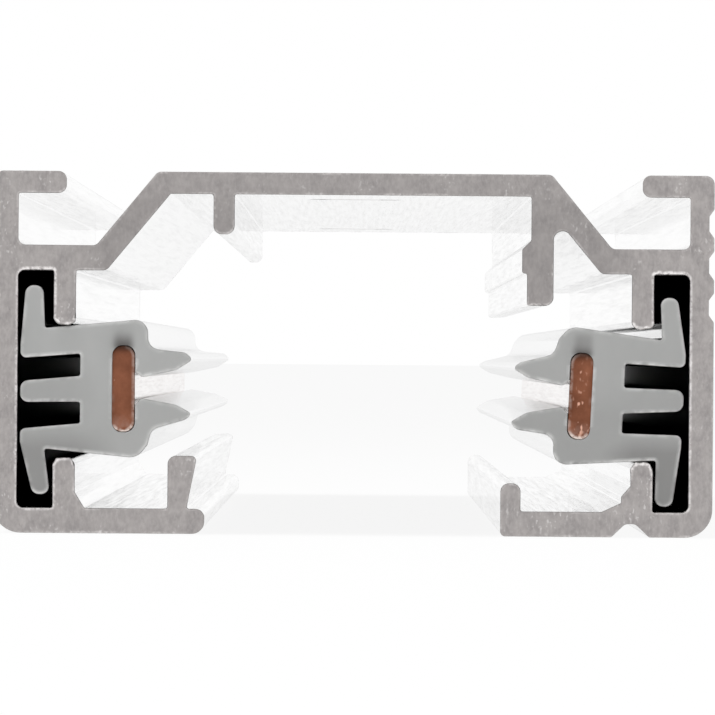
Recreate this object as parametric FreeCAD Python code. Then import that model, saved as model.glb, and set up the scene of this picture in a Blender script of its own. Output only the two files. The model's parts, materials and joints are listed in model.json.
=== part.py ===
"""Single-phase lighting track: one stock length of open aluminium section with two plastic conductor strips.

Each strip hooks into a pair of pockets in the section and holds one flat copper conductor. The two strips are
cut from one section, and the right one is turned over. X runs across the section, Y along the track and Z up.
The origin is at the middle of the length, on the plane of the two lips that the track lies on, mouth down.
All sizes are in millimetres.
"""
import FreeCAD
import Part
import math
import os

# Along the track
track_length = 500.0
strip_setback = 0.2
conductor_setback = 0.6
fixing_hole_diameter = 4.5
fixing_hole_inset = 50.0

# Across the section, from the outside to the middle
section_width = 36.0
side_wall = 1.2
tab_reach = 2.4
pocket_width = 1.8
web_thickness = 1.1
ledge_land = 1.0
lip_cover = 0.71

# Up the section, from the bottom to the top
lip_thickness = 1.25
lower_web_height = 2.5
window_height = 6.65
upper_web_length = 2.75
ledge_thickness = 1.25
clip_slot_height = 2.6
tab_thickness = 1.1

# Raised spine
plate_thickness = 1.1
slope_thickness = 1.2
slope_angle = 50.5

# Shallow grooves along the outside of both walls
groove_count = 3
groove_pitch = 2.1
groove_width = 1.45
groove_flank = 0.35
groove_depth = 0.25
groove_drop = 2.4

# Ribs and marks that tell the two sides of the section apart
stub_rib_inset = 2.8
stub_rib_thickness = 1.05
stub_rib_length = 2.0
key_rib_overhang = 0.12
key_rib_thickness = 1.12
key_rib_length = 5.45
key_foot_step = 0.2
key_bump_reach = 0.45
key_bump_drop = 2.65
key_bump_height = 1.2
left_keeper_setback = 0.9
left_keeper_foot = 0.95
left_keeper_head = 1.47
left_keeper_height = 2.65
right_keeper_thickness = 1.0
right_keeper_height = 1.4
mark_groove_width = 1.9
mark_groove_bed = 0.5
mark_groove_depth = 0.66
left_foot_rise = 0.8
left_foot_run = 0.5
right_foot_rise = 1.3
right_foot_waist = 0.78
right_foot_ledge = 0.46
right_foot_step = 0.46
right_foot_run = 1.45

# Corner radii of the section
base_corner = 1.4
top_corner = 0.45
tip_corner = 0.42
spine_corner = 0.4
pocket_corner = 0.35
web_corner = 0.25
web_tip_corner = 0.42
notch_corner = 0.44
fine_corner = 0.12

# Conductor strip
strip_play = 0.35
strip_gap = 0.02
back_clearance = 0.07
hook_clearance = 0.5
upper_hook_clearance = 0.75
lower_hook_clearance = 0.35
hook_taper = 0.35
hook_root_rise = 0.35
arm_thickness = 1.45
arm_taper = 5.5
rib_thickness = 1.3
rib_tip_thickness = 1.07
rib_droop = 0.15
slot_depth = 3.0
seat_wall = 1.6
front_wall = 0.63
beak_reach = 2.87
beak_crown_setback = 0.35
beak_belly_setback = 0.8
shoulder_corner = 0.85
throat_corner = 0.6
hook_corner = 0.3
beak_crown_corner = 0.5
beak_tip_corner = 0.16

# The strip's full beak, under a square shoulder, and its slim beak, under a bevelled one
full_beak_lip = 0.58
full_beak_belly_rise = 0.38
full_beak_tip = 1.48
full_beak_crown = 2.03
full_beak_crown_fall = 0.19
slim_beak_lip = 0.47
slim_beak_belly_rise = 0.31
slim_beak_tip = 1.22
slim_beak_crown = 2.02
slim_beak_crown_fall = 0.49
slim_throat_run = 0.22
shoulder_bevel_run = 0.53
shoulder_bevel_fall = 0.7

# How each strip has settled in the section; the right one is turned over, with its slim beak up
left_strip_set_in = 0.07
left_upper_hook_gap = 0.6
left_lower_hook_gap = 0.2
left_upper_slot_fall = 0.24
left_lower_slot_fall = -0.28
left_rib_rise = -0.02
right_strip_tilt = 2.6
right_strip_set_in = 0.1
right_upper_hook_gap = 0.3
right_lower_hook_gap = 0.55
right_upper_slot_fall = 0.05
right_lower_slot_fall = 0.05
right_rib_rise = -0.11

# Conductor
conductor_thickness = 1.1
conductor_height = 4.25
conductor_corner = 0.5
conductor_clearance = 0.05

# Places that follow from the sizes
half_width = section_width / 2
inner_face = half_width - side_wall
web_outer = inner_face - pocket_width
web_inner = web_outer - web_thickness
tab_tip = inner_face - tab_reach
lower_web_top = lip_thickness + lower_web_height
upper_web_tip = lower_web_top + window_height
ledge_under = upper_web_tip + upper_web_length
ledge_top = ledge_under + ledge_thickness
tab_under = ledge_top + clip_slot_height
section_height = tab_under + tab_thickness
plate_under = section_height - plate_thickness
slope_rate = math.tan(math.radians(slope_angle))
slope_foot = web_inner - ledge_land
plate_half = slope_foot - (section_height - ledge_top) / slope_rate
slope_across = slope_thickness / math.sin(math.radians(slope_angle))

# Places in the conductor strip's own plane: u from its back towards the mouth, v up from its middle
neck_half = (window_height - strip_play) / 2
neck_u = web_outer - web_inner + pocket_width - back_clearance - web_corner
hook_width = pocket_width - back_clearance - hook_clearance
hook_tip_width = hook_width - hook_taper
upper_hook_tip = neck_half + upper_web_length - upper_hook_clearance
lower_hook_tip = neck_half + lower_web_height - lower_hook_clearance
seat_back = slot_depth + seat_wall
seat_front = seat_back + conductor_thickness + conductor_clearance
seat_half = conductor_height / 2 + conductor_clearance
flank_u = seat_front + front_wall
beak_tip_u = seat_front + beak_reach
taper_rate = math.tan(math.radians(arm_taper))

# The lips reach in past the tips of the beaks
half_mouth = inner_face - back_clearance - beak_tip_u - lip_cover


def slope_inside(z):
    """Distance from the middle to the inner face of the slope, at height z."""
    return plate_half + (section_height - z) / slope_rate - slope_across


def rounded_face(corners):
    """Face in the XZ plane inside a closed run of corners (x, z, radius).

    A radius that its two edges have no room for is drawn as large as they allow.
    """
    count = len(corners)
    points = [FreeCAD.Vector(x, 0, z) for x, z, _ in corners]
    room = 0.499
    starts, ends, middles = [], [], []
    for i, (_, _, radius) in enumerate(corners):
        corner = points[i]
        back = points[i - 1] - corner
        ahead = points[(i + 1) % count] - corner
        half_turn = back.getAngle(ahead) / 2
        cut = min(radius / math.tan(half_turn), room * back.Length, room * ahead.Length)
        back.normalize()
        ahead.normalize()
        true_radius = cut * math.tan(half_turn)
        inward = (back + ahead).normalize()
        starts.append(corner + back * cut)
        ends.append(corner + ahead * cut)
        middles.append(corner + inward * (true_radius / math.sin(half_turn) - true_radius))
    edges = []
    for i in range(count):
        edges.append(Part.Arc(starts[i], middles[i], ends[i]).toShape())
        edges.append(Part.LineSegment(ends[i], starts[(i + 1) % count]).toShape())
    return Part.Face(Part.Wire(edges))


def run_of(face, length):
    """The face drawn out along the track to a bar of that length, centred on the origin."""
    bar = face.extrude(FreeCAD.Vector(0, length, 0))
    bar.translate(FreeCAD.Vector(0, -length / 2, 0))
    return bar


def mirrored(corners):
    """The same corners on the other side of the middle plane, in the order that keeps the run going round."""
    return [(-x, z, r) for x, z, r in reversed(corners)]


def outside_run():
    """Right-hand outside of the section, from the edge of the top plate down to the base corner."""
    corners = [
        (plate_half, section_height, spine_corner),
        (slope_foot, ledge_top, spine_corner),
        (inner_face, ledge_top, pocket_corner),
        (inner_face, tab_under, fine_corner),
        (tab_tip, tab_under, tip_corner),
        (tab_tip, section_height, tip_corner),
        (half_width, section_height, top_corner),
    ]
    groove_floor = half_width - groove_depth
    for i in range(groove_count):
        top = section_height - groove_drop - i * groove_pitch + groove_width / 2
        bottom = top - groove_width
        corners += [
            (half_width, top, fine_corner),
            (groove_floor, top - groove_flank, fine_corner),
            (groove_floor, bottom + groove_flank, fine_corner),
            (half_width, bottom, fine_corner),
        ]
    corners.append((half_width, 0, base_corner))
    return corners


def pocket_run():
    """Right-hand inside of the section, from the lower web's top round the pocket to the foot of the slope."""
    return [
        (web_inner, lower_web_top, web_tip_corner),
        (web_outer, lower_web_top, web_tip_corner),
        (web_outer, lip_thickness, fine_corner),
        (inner_face, lip_thickness, pocket_corner),
        (inner_face, ledge_under, pocket_corner),
        (web_outer, ledge_under, fine_corner),
        (web_outer, upper_web_tip, web_tip_corner),
        (web_inner, upper_web_tip, web_tip_corner),
        (web_inner, ledge_under, fine_corner),
        (slope_inside(ledge_under), ledge_under, spine_corner),
    ]


def right_lip():
    """Underside, end and top of the right lip, with its mark groove, keeper and the web's thickened foot."""
    groove_shoulder = mark_groove_width / 2
    groove_bed = mark_groove_bed / 2
    keeper_top = lip_thickness + right_keeper_height
    keeper_back = half_mouth + right_keeper_thickness
    return [
        (web_inner + groove_shoulder, 0, fine_corner),
        (web_inner + groove_bed, mark_groove_depth, tip_corner),
        (web_inner - groove_bed, mark_groove_depth, tip_corner),
        (web_inner - groove_shoulder, 0, fine_corner),
        (half_mouth, 0, web_corner),
        (half_mouth, keeper_top, tip_corner),
        (keeper_back, keeper_top, tip_corner),
        (keeper_back, lip_thickness, fine_corner),
        (web_inner - right_foot_run, lip_thickness, fine_corner),
        (web_inner - right_foot_step, lip_thickness + right_foot_ledge, fine_corner),
        (web_inner - right_foot_step, lip_thickness + right_foot_waist, fine_corner),
        (web_inner, lip_thickness + right_foot_rise, fine_corner),
    ]


def key_rib():
    """Long rib under the right edge of the top plate, with its bump, from the slope to the plate."""
    outer = plate_half + key_rib_overhang
    face = outer - key_rib_thickness
    bump = face - key_bump_reach
    foot = face - key_foot_step
    bump_top = plate_under - key_bump_drop
    bump_bottom = bump_top - key_bump_height
    rib_end = plate_under - key_rib_length
    apex = section_height - (outer + slope_across - plate_half) * slope_rate
    return [
        (outer, apex, notch_corner),
        (outer, rib_end, tip_corner),
        (foot, rib_end, fine_corner),
        (foot, bump_bottom, fine_corner),
        (bump, bump_bottom, fine_corner),
        (bump, bump_top, fine_corner),
        (face, bump_top + key_bump_reach, fine_corner),
        (face, plate_under, fine_corner),
    ]


def stub_rib():
    """Short rib under the top plate, on the left."""
    outer = stub_rib_inset - plate_half
    inner = outer + stub_rib_thickness
    rib_end = plate_under - stub_rib_length
    return [
        (inner, plate_under, fine_corner),
        (inner, rib_end, tip_corner),
        (outer, rib_end, tip_corner),
        (outer, plate_under, fine_corner),
        (-slope_inside(plate_under), plate_under, fine_corner),
    ]


def left_lip():
    """Foot of the left web, top of the left lip, its keeper and its rounded nose."""
    keeper_top = lip_thickness + left_keeper_height
    keeper_mouth = -half_mouth - left_keeper_setback
    keeper_back = keeper_mouth - left_keeper_foot
    return [
        (-web_inner, lip_thickness + left_foot_rise, fine_corner),
        (-web_inner + left_foot_run, lip_thickness, fine_corner),
        (keeper_back, lip_thickness, fine_corner),
        (keeper_back, keeper_top, tip_corner),
        (keeper_back + left_keeper_head, keeper_top, web_corner),
        (keeper_mouth, lip_thickness, fine_corner),
        (-half_mouth, lip_thickness, lip_thickness / 2),
        (-half_mouth, 0, lip_thickness / 2),
    ]


def profile():
    """Aluminium section, cut to length, with a fixing hole near each end of its top plate."""
    corners = (
        outside_run() + right_lip() + pocket_run() + key_rib()
        + stub_rib() + mirrored(pocket_run()) + left_lip() + mirrored(outside_run())
    )
    bar = run_of(rounded_face(corners), track_length)
    hole_y = track_length / 2 - fixing_hole_inset
    for y in (-hole_y, hole_y):
        foot = FreeCAD.Vector(0, y, plate_under - plate_thickness)
        drill = Part.makeCylinder(fixing_hole_diameter / 2, 3 * plate_thickness, foot)
        bar = bar.cut(drill)
    return bar


def arm_outside(u):
    """Height of the outer face of an arm above the middle of the strip."""
    return neck_half + (u - neck_u) * taper_rate


def hook_corners(rib_face, slot_fall, tip_v, web_gap):
    """Arm and hook on one side of the middle, from the slot round the hook to the outside of the arm."""
    slot_roof = arm_outside(slot_depth) - arm_thickness
    heel = slot_roof - slot_fall
    tip_u = pocket_width - back_clearance - web_gap
    return [
        (slot_depth, rib_face, fine_corner),
        (slot_depth, slot_roof, fine_corner),
        (0, heel, hook_corner),
        (0, heel + hook_root_rise + hook_corner, hook_corner),
        (tip_u - hook_tip_width, tip_v, tip_corner),
        (tip_u, tip_v, tip_corner),
        (hook_width, arm_outside(hook_width), fine_corner),
    ]


def beak_corners(throat_u, crown, crown_fall, tip, lip, belly_rise):
    """Beak and seat on one side of the middle, from the throat under the shoulder to the end of the seat."""
    return [
        (throat_u, crown, throat_corner),
        (beak_tip_u - beak_crown_setback, crown - crown_fall, beak_crown_corner),
        (beak_tip_u, tip, beak_tip_corner),
        (beak_tip_u - beak_belly_setback, lip + belly_rise, shoulder_corner),
        (flank_u - front_wall / 2, lip, web_corner),
        (seat_front, lip + front_wall / 2, fine_corner),
        (seat_front, seat_half, conductor_corner),
        (seat_back, seat_half, conductor_corner),
    ]


def full_beak():
    """Square shoulder, and the beak under it."""
    shoulder = [(flank_u, arm_outside(flank_u), shoulder_corner)]
    return shoulder + beak_corners(
        flank_u, full_beak_crown, full_beak_crown_fall, full_beak_tip, full_beak_lip, full_beak_belly_rise)


def slim_beak():
    """Bevelled shoulder, and the slimmer beak under it."""
    bevel_u = flank_u - shoulder_bevel_run
    shoulder = [
        (bevel_u, arm_outside(bevel_u), shoulder_corner),
        (flank_u, arm_outside(flank_u) - shoulder_bevel_fall, beak_crown_corner),
    ]
    return shoulder + beak_corners(
        flank_u + slim_throat_run, slim_beak_crown, slim_beak_crown_fall,
        slim_beak_tip, slim_beak_lip, slim_beak_belly_rise)


def strip_corners(side):
    """Closed run of a strip's section: rib, upper hook, upper beak and seat, lower beak, lower hook."""
    if side < 0:
        beaks = full_beak(), slim_beak()
        upper_gap, lower_gap = left_upper_hook_gap, left_lower_hook_gap
        upper_fall, lower_fall = left_upper_slot_fall, left_lower_slot_fall
        root, tip = left_rib_rise, left_rib_rise - rib_droop
    else:
        beaks = slim_beak(), full_beak()
        upper_gap, lower_gap = right_upper_hook_gap, right_lower_hook_gap
        upper_fall, lower_fall = right_upper_slot_fall, right_lower_slot_fall
        root, tip = right_rib_rise, right_rib_rise + rib_droop
    rib_face = rib_thickness / 2
    rib_edge = rib_tip_thickness / 2
    upper = hook_corners(rib_face + root, upper_fall, upper_hook_tip, upper_gap) + beaks[0]
    lower = hook_corners(rib_face - root, lower_fall, lower_hook_tip, lower_gap) + beaks[1]
    rib = [
        (0, tip - rib_edge, tip_corner),
        (0, tip + rib_edge, tip_corner),
    ]
    return rib + upper + [(u, -v, r) for u, v, r in reversed(lower)]


def strip_place(side):
    """Turns a point (u, v) of the strip into a place (x, z) in the section.

    The left strip bears up against the upper web. The right one is tilted and bears down on the lower web.
    """
    if side < 0:
        tilt, set_in = 0.0, left_strip_set_in
        bearing_v, bearing_z = neck_half, upper_web_tip - strip_gap
    else:
        tilt = math.radians(right_strip_tilt)
        bearing_v, bearing_z = -neck_half, lower_web_top + strip_gap
        heel = arm_outside(slot_depth) - arm_thickness - right_upper_slot_fall + hook_root_rise + hook_corner
        set_in = (heel - bearing_v) * math.sin(tilt) + right_strip_set_in

    def place(u, v):
        along = neck_u + (u - neck_u) * math.cos(tilt) - (v - bearing_v) * math.sin(tilt) + set_in
        up = (u - neck_u) * math.sin(tilt) + (v - bearing_v) * math.cos(tilt)
        return side * (inner_face - back_clearance - along), bearing_z + up

    return place


def strip(side):
    """One conductor strip, as long as the section less a setback at each end."""
    place = strip_place(side)
    corners = [(*place(u, v), r) for u, v, r in strip_corners(side)]
    return run_of(rounded_face(corners), track_length - 2 * strip_setback)


def conductor(side):
    """Flat copper conductor, against the back of its seat."""
    place = strip_place(side)
    front = seat_back + conductor_thickness
    half = conductor_height / 2
    outline = [(seat_back, -half), (seat_back, half), (front, half), (front, -half)]
    corners = [(*place(u, v), conductor_corner) for u, v in outline]
    return run_of(rounded_face(corners), track_length - 2 * conductor_setback)


pieces = {
    "track_profile": profile(),
    "insulator_left": strip(-1),
    "insulator_right": strip(1),
    "conductor_left": conductor(-1),
    "conductor_right": conductor(1),
}

os.makedirs("parts", exist_ok=True)
for name, piece in pieces.items():
    piece.exportStep(f"parts/{name}.step")
    box = piece.BoundBox
    size = f"{box.XLength:.2f} x {box.YLength:.2f} x {box.ZLength:.2f} mm"
    print(f"{name}: {size}, {piece.Volume / 1000:.2f} cm3")
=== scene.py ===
# %% [markdown]
# # A length of single-phase lighting track
#
# The real object is a sawn length of ceiling track: an aluminium extrusion, two
# grey plastic strips hooked into its sides, and a flat copper conductor in each
# strip. The imported model already has the exact solids. Here each of them gets the
# parts of its look that a solid leaves out: torn edges where the saw came through,
# dished plastic, drawing lines along the length, and the finish of each metal.
#
# The first cell opens the imported model and keeps its box.

# %% Open the imported model
import json
import math

import bpy
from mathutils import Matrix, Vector, geometry, noise


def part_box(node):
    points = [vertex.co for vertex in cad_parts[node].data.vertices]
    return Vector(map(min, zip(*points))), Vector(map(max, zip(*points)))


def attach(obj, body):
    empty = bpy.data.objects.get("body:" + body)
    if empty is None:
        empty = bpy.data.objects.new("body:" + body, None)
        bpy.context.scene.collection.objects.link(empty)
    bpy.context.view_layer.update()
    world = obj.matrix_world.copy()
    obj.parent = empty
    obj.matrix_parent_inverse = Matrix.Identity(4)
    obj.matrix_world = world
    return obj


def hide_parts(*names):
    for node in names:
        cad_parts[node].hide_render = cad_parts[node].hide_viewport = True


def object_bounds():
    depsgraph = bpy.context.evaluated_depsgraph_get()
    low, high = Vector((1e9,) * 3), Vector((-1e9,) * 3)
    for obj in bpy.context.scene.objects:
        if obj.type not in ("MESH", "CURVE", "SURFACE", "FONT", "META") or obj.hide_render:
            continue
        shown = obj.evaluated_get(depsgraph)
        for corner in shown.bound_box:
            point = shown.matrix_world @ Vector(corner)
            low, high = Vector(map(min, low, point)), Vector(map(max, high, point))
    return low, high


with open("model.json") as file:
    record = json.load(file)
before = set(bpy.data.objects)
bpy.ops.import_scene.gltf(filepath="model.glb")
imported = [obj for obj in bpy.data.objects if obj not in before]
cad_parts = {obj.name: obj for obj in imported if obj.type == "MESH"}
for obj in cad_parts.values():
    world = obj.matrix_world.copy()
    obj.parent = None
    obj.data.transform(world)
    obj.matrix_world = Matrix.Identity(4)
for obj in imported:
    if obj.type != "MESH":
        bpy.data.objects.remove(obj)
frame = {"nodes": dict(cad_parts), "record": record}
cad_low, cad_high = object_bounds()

MM = 0.001
print("nodes", sorted(frame["nodes"]))
print("box in mm", [round((b - a) / MM, 2) for a, b in zip(cad_low, cad_high)])

# %% [markdown]
# ## The camera
#
# The photograph looks straight at the sawn end from far away, so the section shows
# almost without perspective. A parallel camera would do that too, but it can't step
# back to take in the whole length when the track is looked at from the side. A very
# long lens is nearly parallel and still steps back, so the camera is a telephoto
# one. It is rolled by under half a degree, as the hand-held picture is.

# %% Camera
PICTURE_WIDTH = 35.75 * MM
HALF_ANGLE = math.radians(0.60)
AIM = Vector((0.20 * MM, cad_low.y, 8.885 * MM))
ROLL = math.radians(0.45)

scene = bpy.context.scene
scene.view_settings.view_transform = "Standard"

lens = bpy.data.cameras.new("telephoto")
lens.sensor_width = 36.0
lens.lens = lens.sensor_width / 2 / math.tan(HALF_ANGLE)
lens.clip_start, lens.clip_end = 0.05, 60.0
camera = bpy.data.objects.new("camera", lens)
stand_off = PICTURE_WIDTH / 2 / math.tan(HALF_ANGLE)
camera.location = AIM - Vector((0, stand_off, 0))
camera.rotation_euler = (math.radians(90), -ROLL, 0)
scene.collection.objects.link(camera)
scene.camera = camera
print("lens", round(lens.lens), "mm,", round(stand_off, 3), "m from the sawn end")

# %% [markdown]
# ## Small helpers for shader nodes
#
# Every finish below is a small web of nodes. Two helpers keep the cells short: one
# adds a node with its settings and input values, and the other makes a node group,
# which is an effect that several finishes share, with named inputs and outputs.

# %% Node helpers
def add(tree, kind, links=(), values=(), **settings):
    """A new node: settings are its own options, values go to inputs, links join inputs to sockets."""
    made = tree.nodes.new(kind)
    for name, value in settings.items():
        setattr(made, name, value)
    for name, value in dict(values).items():
        made.inputs[name].default_value = value
    for name, socket in dict(links).items():
        tree.links.new(socket, made.inputs[name])
    return made


def effect(name, inputs, outputs):
    """A node group with plain number sockets, and its two end nodes."""
    group = bpy.data.node_groups.new(name, "ShaderNodeTree")
    for label, value in inputs.items():
        socket = group.interface.new_socket(name=label, in_out="INPUT", socket_type="NodeSocketFloat")
        socket.default_value = value
    for label in outputs:
        group.interface.new_socket(name=label, in_out="OUTPUT", socket_type="NodeSocketFloat")
    return group, group.nodes.new("NodeGroupInput"), group.nodes.new("NodeGroupOutput")


def place(tree, group, **values):
    """An effect put into a material; a value's name has _ for the spaces of its input."""
    made = add(tree, "ShaderNodeGroup", node_tree=group)
    for name, value in values.items():
        made.inputs[name.replace("_", " ")].default_value = value
    return made


def finish(name):
    """A new material, its nodes and its Principled shader."""
    made = bpy.data.materials.new(name)
    made.use_nodes = True
    shader = made.node_tree.nodes["Principled BSDF"]
    return made, made.node_tree, shader


print("node helpers ready")

# %% [markdown]
# Four more helpers join nodes in ways that come back all the time. One blends two colours by
# a mask. One turns a mask into a range of numbers, such as a roughness. One adds small
# relief. The last tells what is seen from what only lights: a white backdrop needs it, so
# that it can look white without flooding the object with light.

# %% Mixing and bumps
MIX_FACTOR, MIX_BELOW, MIX_ABOVE, MIX_COLOUR = 0, 6, 7, 2


def blended(tree, mask, below, above):
    """A colour between two, by a mask. Each of the two is a colour or a socket."""
    mix = add(tree, "ShaderNodeMix", data_type="RGBA", links={MIX_FACTOR: mask})
    for socket, value in ((mix.inputs[MIX_BELOW], below), (mix.inputs[MIX_ABOVE], above)):
        if isinstance(value, tuple):
            socket.default_value = (*value, 1)
        else:
            tree.links.new(value, socket)
    return mix.outputs[MIX_COLOUR]


def between(tree, mask, low, high, start=0.0, stop=1.0):
    """A number from low to high as a mask goes from start to stop."""
    return add(tree, "ShaderNodeMapRange", links={"Value": mask},
               values={"From Min": start, "From Max": stop, "To Min": low, "To Max": high}).outputs[0]


def bumped(tree, height, depth, shader):
    """Small relief of a depth in metres."""
    bump = add(tree, "ShaderNodeBump", links={"Height": height},
               values={"Strength": 1.0, "Distance": depth})
    tree.links.new(bump.outputs[0], shader.inputs["Normal"])


def seen_directly(tree):
    """1 for what the camera sees, itself or in a reflection or through glass, and 0 for lighting."""
    path = add(tree, "ShaderNodeLightPath")
    seen = path.outputs["Is Camera Ray"]
    for way in ("Is Glossy Ray", "Is Transmission Ray"):
        either = add(tree, "ShaderNodeMath", operation="MAXIMUM", links={0: seen, 1: path.outputs[way]})
        seen = either.outputs[0]
    return seen


print("mixing helpers ready")

# %% [markdown]
# ## Light, backdrop and floor
#
# The photograph is a cut-out on pure white. White comes from the world, which shows
# as plain white to the camera and in reflections, while the light that it gives the
# surfaces is softer. Straight up it is a little greyer, as a ceiling is, so that metal
# seen from above has a tone. Two large soft lamps, above and in front, give the object
# its shape at a plain level, so that a colour shows about as it is written. The front
# lamp is kept out of reflections, where its round shape would show.

# %% World and lamps
SKY_LIGHT = 0.50
CEILING_GREY = 0.72
CEILING_FROM, CEILING_FULL = 0.25, 0.95

world = bpy.data.worlds.new("white_room")
world.use_nodes = True
tree = world.node_tree
tree.nodes.clear()
soft = add(tree, "ShaderNodeBackground", values={"Color": (1, 1, 1, 1), "Strength": SKY_LIGHT})
ray = add(tree, "ShaderNodeTexCoord")
height = add(tree, "ShaderNodeSeparateXYZ", links={0: ray.outputs["Generated"]})
fall = add(tree, "ShaderNodeMapRange", interpolation_type="SMOOTHSTEP",
           links={"Value": height.outputs["Z"]},
           values={"From Min": CEILING_FROM, "From Max": CEILING_FULL})
shade = blended(tree, fall.outputs[0], (1, 1, 1), (CEILING_GREY, CEILING_GREY, CEILING_GREY))
white = add(tree, "ShaderNodeBackground", links={"Color": shade}, values={"Strength": 1.0})
both = add(tree, "ShaderNodeMixShader",
           links={0: seen_directly(tree), 1: soft.outputs[0], 2: white.outputs[0]})
add(tree, "ShaderNodeOutputWorld", links={"Surface": both.outputs[0]})
scene.world = world


def soft_lamp(name, place_at, look_at, size, watts):
    lamp = bpy.data.lights.new(name, "AREA")
    lamp.shape, lamp.size, lamp.energy = "DISK", size, watts
    holder = bpy.data.objects.new(name, lamp)
    holder.location = place_at
    holder.rotation_euler = (Vector(look_at) - Vector(place_at)).to_track_quat("-Z", "Y").to_euler()
    scene.collection.objects.link(holder)
    return holder


soft_lamp("overhead", place_at=(-0.5, -0.2, 1.6), look_at=(0, 0, 0), size=1.8, watts=12.0)
front = soft_lamp("front", place_at=(-0.7, -2.2, 1.5), look_at=(0, -0.25, 0), size=0.9, watts=20.0)
front.visible_glossy = False
print("world", world.name, "and two lamps")

# %% [markdown]
# The floor is a wide plain sheet under the lips. Most of what the camera sees of it
# is the same white as the world, and the rest is lit like paint, so that the shadow
# of the track still falls on it.

# %% Floor
FLOOR_HALF = 40.0
FLOOR_GAP = 0.02 * MM
SHADOW_SHARE = 0.10

sheet = bpy.data.meshes.new("floor")
sheet.from_pydata([(sx * FLOOR_HALF, sy * FLOOR_HALF, -FLOOR_GAP)
                   for sx, sy in ((-1, -1), (1, -1), (1, 1), (-1, 1))], [], [(0, 1, 2, 3)])
floor = bpy.data.objects.new("floor", sheet)
scene.collection.objects.link(floor)

paper = bpy.data.materials.new("white_paper")
paper.use_nodes = True
tree = paper.node_tree
tree.nodes.clear()
share = add(tree, "ShaderNodeMath", operation="MULTIPLY",
            links={0: seen_directly(tree)}, values={1: 1 - SHADOW_SHARE})
paint = add(tree, "ShaderNodeBsdfDiffuse", values={"Color": (0.95, 0.95, 0.95, 1)})
glow = add(tree, "ShaderNodeEmission", values={"Color": (1, 1, 1, 1), "Strength": 1.0})
both = add(tree, "ShaderNodeMixShader",
           links={0: share.outputs[0], 1: paint.outputs[0], 2: glow.outputs[0]})
add(tree, "ShaderNodeOutputMaterial", links={"Surface": both.outputs[0]})
sheet.materials.append(paper)
print("floor", 2 * FLOOR_HALF, "m wide")

# %% [markdown]
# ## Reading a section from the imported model
#
# Every piece of the track is one section run along its length, so its outline at the
# front cut says all about its shape. The outline could be typed in again, but then it
# could drift from the solids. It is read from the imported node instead: the edges that
# only one triangle of the cut face uses are its outline.

# %% Outline of a cut
DIGITS = 7
SAME_PLACE = 10 ** -DIGITS


def cut_outline(node):
    """Closed run of (x, z) points round a node's front cut, anticlockwise as the camera sees it."""
    mesh = frame["nodes"][node].data
    front = min(v.co.y for v in mesh.vertices)
    uses = {}
    for tri in mesh.polygons:
        corners = [mesh.vertices[i].co for i in tri.vertices]
        if max(c.y for c in corners) - front > SAME_PLACE:
            continue
        flat = [(round(c.x, DIGITS), round(c.z, DIGITS)) for c in corners]
        for a, b in zip(flat, flat[1:] + flat[:1]):
            uses.setdefault(frozenset((a, b)), []).append((a, b))
    beside = {}
    for found in uses.values():
        if len(found) == 1:
            a, b = found[0]
            beside.setdefault(a, []).append(b)
            beside.setdefault(b, []).append(a)
    run = [min(beside)]
    run.append(beside[run[0]][0])
    while True:
        ahead = next(p for p in beside[run[-1]] if p != run[-2])
        if ahead == run[0]:
            break
        run.append(ahead)
    area = sum(a[0] * b[1] - b[0] * a[1] for a, b in zip(run, run[1:] + run[:1]))
    if area < 0:
        run.reverse()
    return [Vector(p) for p in run]


outlines = {name: cut_outline(name) for name in sorted(frame["nodes"])}
for name, run in outlines.items():
    print(name, len(run), "outline points")

# %% [markdown]
# Straight runs of an outline have points only at their ends. A torn edge needs more,
# so points are added until no step is longer than a given length. Each point also
# gets the direction that faces out of the section there, and the room that it has to step
# inwards: in a tight corner the points would soon meet.

# %% Closer points, and which way is out
STRAIGHT = 0.02
ROOM_SHARE = 0.7
ROOM_GROWTH = 0.5
ANY_ROOM = 1.0


def spaced(outline, step):
    closer = []
    for here, there in zip(outline, outline[1:] + outline[:1]):
        parts = max(1, math.ceil((there - here).length / step))
        closer += [here.lerp(there, i / parts) for i in range(parts)]
    return closer


def outward(points):
    sides = []
    for here, there in zip(points, points[1:] + points[:1]):
        along = (there - here).normalized()
        sides.append(Vector((along.y, -along.x)))
    return [(sides[i - 1] + sides[i]).normalized() for i in range(len(sides))]


def corner_room(points):
    """How far each point can step inwards before a tight corner closes up."""
    count = len(points)
    hops = [(points[(i + 1) % count] - points[i]) for i in range(count)]
    room = []
    for i in range(count):
        before, after = hops[i - 1], hops[i]
        turn = math.atan2(before.x * after.y - before.y * after.x, before.dot(after))
        mean = (before.length + after.length) / 2
        room.append(ROOM_SHARE * mean / turn if turn > STRAIGHT else ANY_ROOM)
    for i in list(range(count)) * 2:
        room[i] = min(room[i], room[i - 1] + ROOM_GROWTH * hops[i - 1].length)
    for i in list(range(count - 1, -1, -1)) * 2:
        j = (i + 1) % count
        room[i] = min(room[i], room[j] + ROOM_GROWTH * hops[i].length)
    return room


print("profile points at 0.15 mm:", len(spaced(outlines["track_profile"], 0.15 * MM)))

# %% [markdown]
# ## Building a sawn length
#
# A piece is made of rings. Along the length one ring joins the front to the back. At
# each cut, a few more rings step over the edge: from the wall, over the torn lip, to
# the cut face. The face itself is filled with a fine net of triangles, so that it can
# be dished or uneven, which one large polygon could not be. Two numbers are kept for
# each point, and the finishes read them. One says how torn the edge is there, and the
# finishes paint a torn edge bright with it: a painted highlight. The other, deep, is
# painted shade and darkening: on a wall how deep it lies in a closed pocket or slot,
# and on a cut how dark the finish paints it, as painted shade over parts of the cut and,
# on the strips, a darkening of their lower parts.

# %% Net of triangles inside a ring
ROW_SHARE = 0.87
CLEAR_SHARE = 0.6
INSIDE_ONLY = 1
SAME_POINT = 1e-9


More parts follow.
